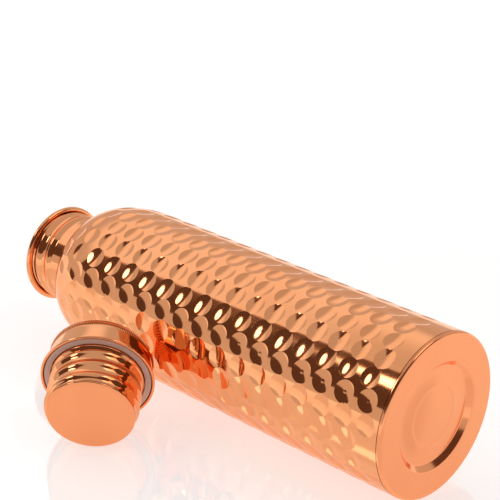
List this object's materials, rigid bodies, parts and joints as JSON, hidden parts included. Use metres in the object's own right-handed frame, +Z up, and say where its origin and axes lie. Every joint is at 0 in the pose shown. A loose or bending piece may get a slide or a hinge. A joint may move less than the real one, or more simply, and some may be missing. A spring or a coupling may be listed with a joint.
{
  "type": "copper water bottle",
  "caption": "Hammered copper water bottle lying on its side, its mouth open and its threaded screw cap laid against it.",
  "frame": {"origin": "centre of the whole arrangement's bounding box, on the floor that the bottle and its cap lie on", "axes": "+X along the lying bottle's axis from its mouth to its base, -Y towards the side that the cap lies on, +Z up"},
  "size_m": [0.2418, 0.1294, 0.0748],
  "materials": {
    "copper_hammered": "hammered and polished copper",
    "copper_polished": "polished copper",
    "copper_satin": "satin copper",
    "silicone": "matt silicone, greyish tan"
  },
  "bodies": {
    "bottle": {"body_shell": "copper_hammered", "base_plate": "copper_satin", "neck_sleeve": "copper_polished"},
    "cap": {"cap_shell": "copper_polished", "threaded_plug": "copper_polished", "plug_end_disc": "copper_satin"},
    "washer": {"sealing_washer": "silicone"}
  },
  "joints": [
    {"name": "cap_lift", "type": "slide", "parent": "bottle", "child": "cap", "axis": [0.414, -0.4917, 0.766], "range_m": [0, 0.12]},
    {"name": "washer_pull", "type": "slide", "parent": "cap", "child": "washer", "axis": [0.6222, -0.7388, -0.259], "range_m": [0, 0.03]}
  ]
}
